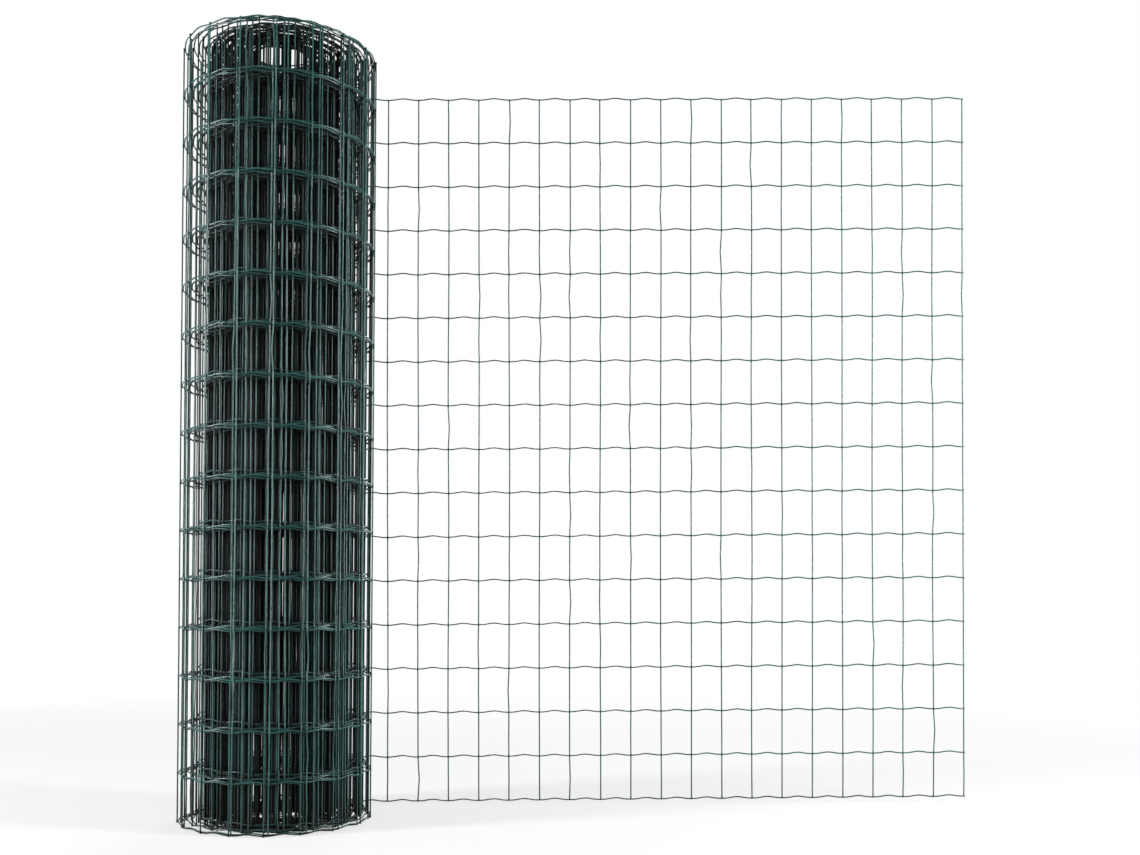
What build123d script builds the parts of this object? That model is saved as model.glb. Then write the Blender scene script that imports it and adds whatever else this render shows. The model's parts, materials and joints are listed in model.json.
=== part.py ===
"""Roll of plastic-coated welded wire fencing that stands on its end, with its free end drawn out flat.

The origin is on the roll's axis at floor level and +Z runs up the axis. The free end leaves the
back of the roll, on the +Y side, and runs along +X on its lower edge.
"""

import os
from math import pi, sqrt

from build123d import *

# Stock mesh: crimped line wires run along the fence and straight stay wires stand upright.
wire_diameter = 2.2
row_pitch = 75.0
row_cells = 16
column_pitch = 52.0
crimp_height = 2.6
edge_overhang = 1.5

# Wound roll: its outer turns show on both ends as rings, fewer and further apart than in the real
# roll, round a flat core of tight turns.
roll_diameter = 296.0
bore_diameter = 80.0
end_turns = 6
end_turn_pitch = 9.4
gap_depth = 12.0

# Free end.
free_columns = 22

# A square bar with the round wire's area, so that the mesh is as thick as two bars.
bar_side = wire_diameter * sqrt(pi) / 2
mesh_thickness = 2 * bar_side
fence_height = row_cells * row_pitch + 2 * edge_overhang
roll_radius = roll_diameter / 2
bore_radius = bore_diameter / 2
free_length = free_columns * column_pitch


def end_relief():
    """Radius and depth of the points across one end, from the rim to the bore.

    Each turn that shows is a crest level with the end, each gap inside it a V groove, and the
    tight core is flat.
    """
    points = [(roll_radius, 0), (roll_radius - mesh_thickness, 0)]
    for turn in range(1, end_turns + 1):
        turn_outside = roll_radius - turn * end_turn_pitch
        gap_outside = turn_outside + end_turn_pitch - mesh_thickness
        points.append(((gap_outside + turn_outside) / 2, gap_depth))
        if turn < end_turns:
            points.append((turn_outside - mesh_thickness / 2, 0))
    points.append((turn_outside, 0))
    points.append((bore_radius, 0))
    return points


def wound_roll():
    """All the wound turns as one turned body round the open bore."""
    bottom = [(radius, 0, depth) for radius, depth in end_relief()]
    top = [(radius, 0, fence_height - depth) for radius, depth in end_relief()]
    profile = make_face(Polyline(*bottom, *reversed(top), close=True))
    return revolve(profile, Axis.Z)


def line_wire():
    """The lowest line wire of the free end: a bar that rises to a crimp half way along each cell."""
    line = [(-bar_side / 2, 0)]
    for column in range(free_columns):
        line.append((column * column_pitch, 0))
        line.append((column * column_pitch + column_pitch / 2, crimp_height))
    line.append((free_length, 0))
    line.append((free_length + edge_overhang, 0))
    lower = [(x, roll_radius, edge_overhang + rise - bar_side / 2) for x, rise in line]
    upper = [(x, roll_radius, edge_overhang + rise + bar_side / 2) for x, rise in line]
    outline = make_face(Polyline(*lower, *reversed(upper), close=True))
    return extrude(outline, amount=bar_side, dir=(0, 1, 0))


def stay_wire(column):
    """One upright wire, welded to the outer face of the line wires."""
    foot = Pos(column * column_pitch, roll_radius + bar_side, 0)
    return foot * Box(bar_side, bar_side, fence_height, align=(Align.CENTER, Align.MIN, Align.MIN))


def free_end():
    """The flat mesh, with its line wires and stay wires fused at every crossing."""
    line_wires = [Pos(0, 0, row * row_pitch) * line_wire() for row in range(row_cells + 1)]
    stay_wires = [stay_wire(column) for column in range(1, free_columns + 1)]
    return line_wires[0].fuse(*line_wires[1:], *stay_wires)


os.makedirs("parts", exist_ok=True)
export_step(wound_roll(), "parts/wound_roll.step")
export_step(free_end(), "parts/free_end.step")
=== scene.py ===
"""Looks of the roll of wire fencing: the welded mesh as round coated wires, wound and drawn out flat."""

import json
import math

import bpy
import numpy as np
from mathutils import Euler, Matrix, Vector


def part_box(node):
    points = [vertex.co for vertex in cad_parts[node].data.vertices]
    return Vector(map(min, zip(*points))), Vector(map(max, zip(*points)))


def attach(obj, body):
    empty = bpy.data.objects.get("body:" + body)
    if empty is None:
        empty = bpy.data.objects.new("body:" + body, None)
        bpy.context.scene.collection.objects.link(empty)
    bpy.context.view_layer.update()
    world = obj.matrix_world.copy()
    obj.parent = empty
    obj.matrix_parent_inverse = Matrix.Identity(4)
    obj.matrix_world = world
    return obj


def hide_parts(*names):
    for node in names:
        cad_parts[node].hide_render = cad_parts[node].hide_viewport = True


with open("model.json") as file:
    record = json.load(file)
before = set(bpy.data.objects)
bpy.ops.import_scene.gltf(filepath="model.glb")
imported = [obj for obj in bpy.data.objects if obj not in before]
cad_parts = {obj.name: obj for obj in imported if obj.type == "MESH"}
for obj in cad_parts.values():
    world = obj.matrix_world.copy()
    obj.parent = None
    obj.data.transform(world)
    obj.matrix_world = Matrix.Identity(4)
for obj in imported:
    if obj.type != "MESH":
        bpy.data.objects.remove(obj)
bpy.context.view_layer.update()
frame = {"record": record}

roll_low, roll_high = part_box("wound_roll")
free_low, free_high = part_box("free_end")
mounts = {mount["name"]: mount for mount in frame["record"]["mounts"]}

# Stock mesh, in metres, as in the part's source. The power makes a crimp narrower than a plain wave.
WIRE_RADIUS = 0.0011
ROW_PITCH = 0.075
ROW_CELLS = 16
COLUMN_PITCH = 0.052
CRIMP_HEIGHT = 0.0026
CRIMP_POWER = 1.5
EDGE_OVERHANG = 0.0015
FENCE_HEIGHT = roll_high.z - roll_low.z
ROW_HEIGHTS = EDGE_OVERHANG + ROW_PITCH * np.arange(ROW_CELLS + 1)
FREE_COLUMNS = round((free_high.x - EDGE_OVERHANG) / COLUMN_PITCH)
FREE_LENGTH = FREE_COLUMNS * COLUMN_PITCH

# A weld presses the two wires together, and the coat swells round it.
WELD_SINK = 0.0005
WELD_SWELL = 0.00025
WELD_REACH = 0.0035
WELD_CORE = 0.0012

# Wound roll: loose turns round a core of tight ones. SHEET_RADIUS is that of the line wires where the
# free end leaves the roll.
SHEET_RADIUS = free_low.y + WIRE_RADIUS
BORE_RADIUS = mounts["bore"]["dims"]["r_mm"] / 1000
LOOSE_TURNS = 6
LOOSE_PITCH = 0.0048
CORE_PITCH = 0.00214
CORE_SHIFT = 0.009
STEPS_PER_TURN = 240

# Uneven winding: how far the turns wobble, lift and slip along themselves, and the waves that they do it
# in, each as (share, radians for each radian of turn, phase).
LOOSE_WOBBLE = 0.0009
CORE_WOBBLE = 0.0004
WOBBLE_WAVES = ((1.0, 0.83, 0.0), (0.7, 1.71, 1.0), (0.5, 2.39, 2.2))
LIFT_HEIGHT = 0.0078
LIFT_WAVES = ((0.6, 0.164, 3.56), (0.4, 0.52, 0.45))
SLIP_LENGTH = 0.010
SLIP_WAVES = ((1.0, 0.34, 3.1), (1.0, 0.87, 4.8))

# Slips that hold at the tangent line and at the front of the first three turns.
FRONT_TURNS = (0.0, 0.5, 1.5, 2.5)
FRONT_SLIPS = (0.0, -0.020, -0.034, -0.041)

# The roll leans a little as it stands, and the free end rises a little towards its edge.
ROLL_SHIFT = 0.002
ROLL_LEAN = 0.008
FREE_RISE = 0.008

# Stay wires: long bows, a skew that swings from column to column, and kinks between the welds. Each
# stretch of them has its own seed, and the span keeps it positive.
STAY_BOW = 0.0006
BOW_SHARES = (0.4, 1.6)
BOW_WAVES = (0.6, 2.6)
STAY_SKEW = 0.004
SKEW_SWING = 0.29
STAY_KINK = 0.0002
KINK_LIMIT = 0.002
SEED = 7
SEED_SPAN = 1000

# The stretches that the mesh is drawn in: the turns at which the loose, outer and middle ones end, and
# the sides round a wire and the stations along a cell in each.
STRETCH_TURNS = (3.0, 9.0, 21.0)
FREE_SIDES = 8
FREE_STATIONS = 8
OUTER_SIDES = 6
OUTER_STATIONS = 6
INNER_SIDES = 6
INNER_STATIONS = 4

COAT_DARK = (0.010, 0.060, 0.055, 1.0)
COAT_LIGHT = (0.024, 0.116, 0.107, 1.0)
STEEL_DARK = (0.16, 0.17, 0.16, 1.0)
STEEL_LIGHT = (0.38, 0.38, 0.36, 1.0)
WHITE = (1.0, 1.0, 1.0, 1.0)

# Studio: how much of the white shows in reflections in front of the object, the even light from all
# round, the floor's reach and where it fades to white, and the place that most of the lamps point at.
FRONT_SHARE = 0.1
EVEN_LIGHT = 0.06
FLOOR_REACH = 12.0
FADE_START = 1.0
FADE_END = 2.4
ROLL_MIDDLE = (0.0, 0.0, 0.5)


def smooth_step(share):
    """Rises from 0 to 1 with level ends."""
    share = np.clip(share, 0.0, 1.0)
    return share * share * (3.0 - 2.0 * share)


def wave_sum(waves, angle):
    """The sum of several sine waves along the turn angle."""
    return sum(share * np.sin(frequency * angle + phase) for share, frequency, phase in waves)


def wind():
    """The spiral as arrays, from the tangent line inwards: wound length, turn angle, radius, lift and
    sideways shift. The loose turns drift off centre, and the tight ones close round the bore again."""
    step = math.tau / STEPS_PER_TURN
    loose_angle = LOOSE_TURNS * math.tau
    core_radius = SHEET_RADIUS - LOOSE_TURNS * LOOSE_PITCH
    core_turns = (core_radius - BORE_RADIUS - WIRE_RADIUS) / CORE_PITCH
    angle = np.arange(0.0, loose_angle + core_turns * math.tau, step)
    loose = np.minimum(angle, loose_angle) / math.tau
    core = np.maximum(angle - loose_angle, 0.0) / math.tau
    start = smooth_step(angle / math.pi)
    wobble = np.where(core > 0.0, CORE_WOBBLE, LOOSE_WOBBLE) * start * wave_sum(WOBBLE_WAVES, angle)
    radius = SHEET_RADIUS - LOOSE_PITCH * loose - CORE_PITCH * core + wobble
    lift = LIFT_HEIGHT * start * (1.0 + wave_sum(LIFT_WAVES, angle)) ** 2 / 2
    shift = CORE_SHIFT * smooth_step(angle / loose_angle) * (1.0 - smooth_step(core / core_turns))
    length = np.concatenate(([0.0], np.cumsum(radius[:-1] * step)))
    front_angles = math.tau * np.array(FRONT_TURNS)
    length += np.interp(angle, front_angles, FRONT_SLIPS)
    inside = smooth_step((angle - front_angles[-1]) / math.tau)
    length += SLIP_LENGTH * inside * wave_sum(SLIP_WAVES, angle)
    return length, angle, radius, lift, shift


WOUND_LENGTH, WOUND_ANGLE, WOUND_RADIUS, WOUND_LIFT, WOUND_SHIFT = wind()


def place(along, out, up):
    """Points of the sheet in the frame. along is measured from the tangent line: flat where it is
    positive, wound where it is negative. out leads away from the roll and up is the height."""
    wound = -np.minimum(along, 0.0)
    angle = np.interp(wound, WOUND_LENGTH, WOUND_ANGLE) + math.pi / 2
    radius = np.interp(wound, WOUND_LENGTH, WOUND_RADIUS) + out
    lift = np.interp(wound, WOUND_LENGTH, WOUND_LIFT)
    shift = np.interp(wound, WOUND_LENGTH, WOUND_SHIFT)
    flat = np.maximum(along, 0.0)
    lean = smooth_step(wound / SHEET_RADIUS) * (ROLL_SHIFT + ROLL_LEAN * up / FENCE_HEIGHT)
    rise = FREE_RISE * flat / free_high.x
    x = flat + radius * np.cos(angle) + shift + lean
    y = radius * np.sin(angle)
    return np.stack(np.broadcast_arrays(x, y, up + lift + rise), axis=-1)


def outwards(along):
    """Unit vectors that lead away from the roll, square to the sheet."""
    wound = -np.minimum(along, 0.0)
    angle = np.interp(wound, WOUND_LENGTH, WOUND_ANGLE) + math.pi / 2
    return np.stack((np.cos(angle), np.sin(angle), np.zeros_like(angle)), axis=-1)


def tubes(paths, normals, radii, sides):
    """Closed tubes round several paths with equally many stations, as (vertices, quads, cap flags)."""
    count, stations, _ = paths.shape
    tangents = np.gradient(paths, axis=1)
    tangents /= np.linalg.norm(tangents, axis=-1, keepdims=True)
    across = np.cross(tangents, normals)
    across /= np.linalg.norm(across, axis=-1, keepdims=True)
    normals = np.cross(across, tangents)
    turn = np.arange(sides) * math.tau / sides
    spokes = np.cos(turn)[:, None] * normals[:, :, None] + np.sin(turn)[:, None] * across[:, :, None]
    vertices = paths[:, :, None] + radii[:, :, None, None] * spokes
    index = np.arange(count * stations * sides).reshape(count, stations, sides)
    following = np.roll(index, -1, axis=2)
    walls = np.stack((index[:, :-1], index[:, 1:], following[:, 1:], following[:, :-1]), axis=-1)
    fan = np.array([(0, side, side + 1, side + 2) for side in range(1, sides - 2, 2)])
    near = index[:, 0][:, fan]
    far = index[:, -1][:, fan[:, ::-1]]
    caps = np.concatenate((near, far)).reshape(-1, 4)
    quads = np.concatenate((walls.reshape(-1, 4), caps))
    flags = np.concatenate((np.zeros(walls.size // 4, bool), np.ones(len(caps), bool)))
    return vertices.reshape(-1, 3), quads, flags


def line_wires(start, end, sides, stations):
    """The crimped line wires between two places along the sheet, one for every row."""
    cells = max(1, round((end - start) / COLUMN_PITCH * stations))
    along = np.linspace(start, end, cells + 1)
    crimp = CRIMP_HEIGHT * (0.5 - 0.5 * np.cos(math.tau * along / COLUMN_PITCH)) ** CRIMP_POWER
    crimp = np.where(along > FREE_LENGTH, 0.0, crimp)
    paths = place(along, 0.0, ROW_HEIGHTS[:, None] + crimp)
    normals = np.broadcast_to(outwards(along), paths.shape)
    radii = np.full(paths.shape[:2], WIRE_RADIUS)
    return tubes(paths, normals, radii, sides)


def stay_stations(detailed):
    """Heights and radii along a stay wire, and which heights lie half way between two welds. A detailed
    wire has the coat swollen at its welds, and a station half way between them."""
    if detailed:
        offsets = np.array((-WELD_REACH, -WELD_CORE, WELD_CORE, WELD_REACH, ROW_PITCH / 2))
        swells = np.array((0.0, WELD_SWELL, WELD_SWELL, 0.0, 0.0))
    else:
        offsets = np.zeros(1)
        swells = np.zeros(1)
    heights = (ROW_HEIGHTS[:, None] + offsets).ravel()
    inside = (heights > 0.0) & (heights < FENCE_HEIGHT)
    heights = np.concatenate(([0.0], heights[inside], [FENCE_HEIGHT]))
    swells = np.tile(swells, len(ROW_HEIGHTS))[inside]
    radii = WIRE_RADIUS + np.concatenate(([0.0], swells, [0.0]))
    return heights, radii, np.isin(heights, ROW_HEIGHTS + ROW_PITCH / 2)


def stay_wires(columns, sides, detailed):
    """The upright wires at these columns, bowed a little, and skewed a little where they are wound.
    Detailed ones also have kinks, most of them slight and a few strong."""
    heights, radii, between = stay_stations(detailed)
    rng = np.random.default_rng(SEED + int(columns[0]) % SEED_SPAN)
    each = (len(columns), 1)
    waves = rng.uniform(*BOW_WAVES, each) * math.tau / FENCE_HEIGHT
    phases = rng.uniform(0.0, math.tau, each)
    bows = STAY_BOW * rng.uniform(*BOW_SHARES, each)
    skews = STAY_SKEW * np.where(columns > 0, 0.0, np.sin(SKEW_SWING * columns))[:, None]
    along = columns[:, None] * COLUMN_PITCH + bows * np.sin(waves * heights + phases)
    along += skews * (heights / FENCE_HEIGHT - 0.5)
    kinks = STAY_KINK * rng.normal(size=along.shape) ** 3
    along += np.where(between, np.clip(kinks, -KINK_LIMIT, KINK_LIMIT), 0.0)
    paths = place(along, 2 * WIRE_RADIUS - WELD_SINK, np.broadcast_to(heights, along.shape))
    return tubes(paths, outwards(along), np.broadcast_to(radii, along.shape), sides)


def make_piece(name, groups, materials):
    """One mesh object from groups of tubes, with the cut ends in the second material."""
    starts = np.cumsum([0] + [len(group[0]) for group in groups])
    vertices = np.concatenate([group[0] for group in groups])
    quads = np.concatenate([group[1] + start for group, start in zip(groups, starts)])
    caps = np.concatenate([group[2] for group in groups])
    mesh = bpy.data.meshes.new(name)
    mesh.vertices.add(len(vertices))
    mesh.vertices.foreach_set("co", vertices.ravel())
    mesh.loops.add(quads.size)
    mesh.loops.foreach_set("vertex_index", quads.ravel())
    mesh.polygons.add(len(quads))
    mesh.polygons.foreach_set("loop_start", np.arange(0, quads.size, 4))
    mesh.polygons.foreach_set("material_index", caps.astype(np.int32))
    mesh.polygons.foreach_set("use_smooth", ~caps)
    for material in materials:
        mesh.materials.append(material)
    mesh.update(calc_edges=True)
    piece = bpy.data.objects.new(name, mesh)
    bpy.context.scene.collection.objects.link(piece)
    return piece


def new_material(name):
    """A material with a Principled shader: (material, its node tree, the shader)."""
    material = bpy.data.materials.new(name)
    material.use_nodes = True
    return material, material.node_tree, material.node_tree.nodes["Principled BSDF"]


def math_node(tree, operation, first, second):
    """The output of a Math node with two inputs, each of them a socket or a number."""
    node = tree.nodes.new("ShaderNodeMath")
    node.operation = operation
    for socket, value in zip(node.inputs, (first, second)):
        if isinstance(value, float):
            socket.default_value = value
        else:
            tree.links.new(value, socket)
    return node.outputs["Value"]


def range_node(tree, value, start, end, low, high):
    """The output of a Map Range node that leads from low at start to high at end, and no further."""
    node = tree.nodes.new("ShaderNodeMapRange")
    node.inputs["From Min"].default_value = start
    node.inputs["From Max"].default_value = end
    node.inputs["To Min"].default_value = low
    node.inputs["To Max"].default_value = high
    tree.links.new(value, node.inputs["Value"])
    return node.outputs["Result"]


def noise_node(tree, coordinates, scale, detail):
    """The output of a noise texture."""
    node = tree.nodes.new("ShaderNodeTexNoise")
    node.inputs["Scale"].default_value = scale
    node.inputs["Detail"].default_value = detail
    tree.links.new(coordinates, node.inputs["Vector"])
    return node.outputs["Fac"]


def ramp_node(tree, value, start, end, dark, light):
    """The output of a colour ramp that leads from dark at start to light at end."""
    node = tree.nodes.new("ShaderNodeValToRGB")
    stops = node.color_ramp.elements
    for stop, position, colour in ((stops[0], start, dark), (stops[1], end, light)):
        stop.position = position
        stop.color = colour
    tree.links.new(value, node.inputs["Fac"])
    return node.outputs["Color"]


def coat_material():
    """Dark green plastic coat: satin, faintly mottled and uneven, with painted shade that makes it
    darker deep in the roll, and rougher and duller there too.
    """
    material, tree, shader = new_material("green_coat")
    coordinates = tree.nodes.new("ShaderNodeTexCoord").outputs["Object"]
    mottle = noise_node(tree, coordinates, scale=28.0, detail=4.0)
    colour = ramp_node(tree, mottle, start=0.3, end=0.7, dark=COAT_DARK, light=COAT_LIGHT)
    # Painted shade: ambient occlusion darkens the coat's colour deep in the roll, where the turns shade
    # each other, and the same factor makes the coat rougher there.
    recess = tree.nodes.new("ShaderNodeAmbientOcclusion")
    recess.samples = 8
    recess.inputs["Distance"].default_value = 0.1
    painted_shade_factor = range_node(tree, recess.outputs["AO"], start=0.42, end=0.8, low=0.01, high=1.0)
    painted_shade = tree.nodes.new("ShaderNodeVectorMath")
    painted_shade.operation = "SCALE"
    tree.links.new(colour, painted_shade.inputs["Vector"])
    tree.links.new(painted_shade_factor, painted_shade.inputs["Scale"])
    tree.links.new(painted_shade.outputs["Vector"], shader.inputs["Base Color"])
    satin = range_node(tree, mottle, start=0.0, end=1.0, low=0.22, high=0.34)
    closed = math_node(tree, "SUBTRACT", 1.0, painted_shade_factor)
    tree.links.new(math_node(tree, "MAXIMUM", closed, satin), shader.inputs["Roughness"])
    ripple = noise_node(tree, coordinates, scale=900.0, detail=2.0)
    bump = tree.nodes.new("ShaderNodeBump")
    bump.inputs["Strength"].default_value = 0.15
    bump.inputs["Distance"].default_value = 0.0003
    tree.links.new(ripple, bump.inputs["Height"])
    tree.links.new(bump.outputs["Normal"], shader.inputs["Normal"])
    return material


def cut_material():
    """Bare cut end of the steel wire, dull and a little tarnished."""
    material, tree, shader = new_material("cut_steel")
    shader.inputs["Metallic"].default_value = 0.8
    shader.inputs["Roughness"].default_value = 0.5
    coordinates = tree.nodes.new("ShaderNodeTexCoord").outputs["Object"]
    tarnish = noise_node(tree, coordinates, scale=700.0, detail=2.0)
    colour = ramp_node(tree, tarnish, start=0.0, end=1.0, dark=STEEL_DARK, light=STEEL_LIGHT)
    tree.links.new(colour, shader.inputs["Base Color"])
    return material


def make_mesh():
    """The whole length of mesh in five stretches, coarser towards the bore."""
    wire_finish = (coat_material(), cut_material())
    stretch_angles = math.tau * np.array(STRETCH_TURNS)
    loose_end, outer_end, middle_end = -np.interp(stretch_angles, WOUND_ANGLE, WOUND_LENGTH)
    inner_end = -WOUND_LENGTH[-1]
    free_edge = FREE_LENGTH + EDGE_OVERHANG
    stretches = (
        ("free_end_mesh", 0.0, free_edge, "free_end", FREE_SIDES, FREE_STATIONS, True),
        ("loose_turns_mesh", loose_end, 0.0, "wound_roll", OUTER_SIDES, OUTER_STATIONS, True),
        ("outer_turns_mesh", outer_end, loose_end, "wound_roll", OUTER_SIDES, OUTER_STATIONS, False),
        ("middle_turns_mesh", middle_end, outer_end, "wound_roll", INNER_SIDES, INNER_STATIONS, False),
        ("inner_turns_mesh", inner_end, middle_end, "wound_roll", INNER_SIDES, INNER_STATIONS, False),
    )
    for name, start, end, node, sides, stations, detailed in stretches:
        columns = np.arange(math.floor(start / COLUMN_PITCH) + 1, math.floor(end / COLUMN_PITCH) + 1)
        groups = (line_wires(start, end, sides, stations), stay_wires(columns, sides, detailed))
        piece = make_piece(name, groups, wire_finish)
        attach(piece, "root")
        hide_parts(node)


def background_share(tree, coordinates, front, back):
    """How much of the white background a ray shows: all of it to the camera, and in reflections all of
    it behind the object and little in front of it, as in a studio with a white sweep."""
    split = tree.nodes.new("ShaderNodeSeparateXYZ")
    tree.links.new(coordinates, split.inputs["Vector"])
    sweep = range_node(tree, split.outputs["Y"], start=front, end=back, low=FRONT_SHARE, high=1.0)
    rays = tree.nodes.new("ShaderNodeLightPath").outputs
    reflected = math_node(tree, "MAXIMUM", rays["Is Glossy Ray"], rays["Is Transmission Ray"])
    mirrored = math_node(tree, "MULTIPLY", reflected, sweep)
    return math_node(tree, "MAXIMUM", mirrored, rays["Is Camera Ray"])


def floor_material():
    """Pale and matt near the object. Further off, a white glow takes the place of that colour."""
    material, tree, shader = new_material("pale_floor")
    shader.inputs["Roughness"].default_value = 0.9
    shader.inputs["Specular IOR Level"].default_value = 0.0
    shader.inputs["Emission Color"].default_value = WHITE
    coordinates = tree.nodes.new("ShaderNodeTexCoord").outputs["Object"]
    length = tree.nodes.new("ShaderNodeVectorMath")
    length.operation = "LENGTH"
    tree.links.new(coordinates, length.inputs["Vector"])
    distance = length.outputs["Value"]
    pale = range_node(tree, distance, start=FADE_START, end=FADE_END, low=0.30, high=0.0)
    glow = range_node(tree, distance, start=FADE_START, end=FADE_END, low=0.64, high=1.0)
    shown = background_share(tree, coordinates, front=-1.0, back=1.0)
    tree.links.new(pale, shader.inputs["Base Color"])
    tree.links.new(math_node(tree, "MULTIPLY", shown, glow), shader.inputs["Emission Strength"])
    return material


def make_floor():
    """A plain floor that keeps the soft shadow near the object and fades into the white further off."""
    low, high = -FLOOR_REACH, FLOOR_REACH
    corners = [(low, low, 0.0), (high, low, 0.0), (high, high, 0.0), (low, high, 0.0)]
    mesh = bpy.data.meshes.new("floor")
    mesh.from_pydata(corners, [], [(0, 1, 2, 3)])
    mesh.materials.append(floor_material())
    floor = bpy.data.objects.new("floor", mesh)
    bpy.context.scene.collection.objects.link(floor)


def make_world():
    """The white background, and a low even light."""
    world = bpy.data.worlds.new("studio")
    bpy.context.scene.world = world
    world.use_nodes = True
    tree = world.node_tree
    shader = tree.nodes["Background"]
    shader.inputs["Color"].default_value = WHITE
    coordinates = tree.nodes.new("ShaderNodeTexCoord").outputs["Generated"]
    shown = background_share(tree, coordinates, front=-0.3, back=0.4)
    tree.links.new(math_node(tree, "MAXIMUM", shown, EVEN_LIGHT), shader.inputs["Strength"])


def make_light(name, position, aim, width, height, power):
    """A soft oblong lamp that points at a place."""
    data = bpy.data.lights.new(name, "AREA")
    data.shape = "RECTANGLE"
    data.size = width
    data.size_y = height
    data.energy = power
    lamp = bpy.data.objects.new(name, data)
    lamp.location = position
    direction = np.array(aim) - np.array(position)
    yaw = math.atan2(direction[0], direction[1])
    pitch = math.atan2(direction[2], math.hypot(direction[0], direction[1]))
    lamp.rotation_euler = Euler((math.pi / 2 + pitch, 0.0, -yaw))
    bpy.context.scene.collection.objects.link(lamp)


def make_lights():
    """A tall strip on each side for the glints along the wires, and weaker lamps behind and in front."""
    make_light("left", (-2.5, -1.0, 1.0), ROLL_MIDDLE, width=0.4, height=1.9, power=135.0)
    make_light("right", (2.8, -0.9, 1.0), ROLL_MIDDLE, width=0.4, height=1.9, power=125.0)
    make_light("back", (0.4, 2.6, 1.6), (0.2, 0.0, 0.6), width=1.0, height=1.0, power=30.0)
    make_light("front", (-0.5, -2.7, 0.7), ROLL_MIDDLE, width=1.2, height=1.2, power=7.0)


def make_camera():
    """The photograph's view: an almost level camera below mid-height, framed upwards by its shift."""
    image_width = 1140.0
    image_height = 855.0
    focal_pixels = 1209.0
    horizon_pixel = 581.6
    tilt_degrees = 90.47
    turn_degrees = -0.60
    data = bpy.data.cameras.new("camera")
    data.sensor_width = 36.0
    data.lens = focal_pixels / image_width * data.sensor_width
    data.shift_y = (horizon_pixel - image_height / 2) / image_width
    data.clip_start = 0.01
    camera = bpy.data.objects.new("camera", data)
    camera.location = (0.4464, -1.9207, 0.3604)
    camera.rotation_euler = Euler((math.radians(tilt_degrees), 0.0, math.radians(turn_degrees)))
    bpy.context.scene.collection.objects.link(camera)
    bpy.context.scene.camera = camera


make_mesh()
make_floor()
make_world()
make_lights()
make_camera()
bpy.context.scene.view_settings.view_transform = "Standard"
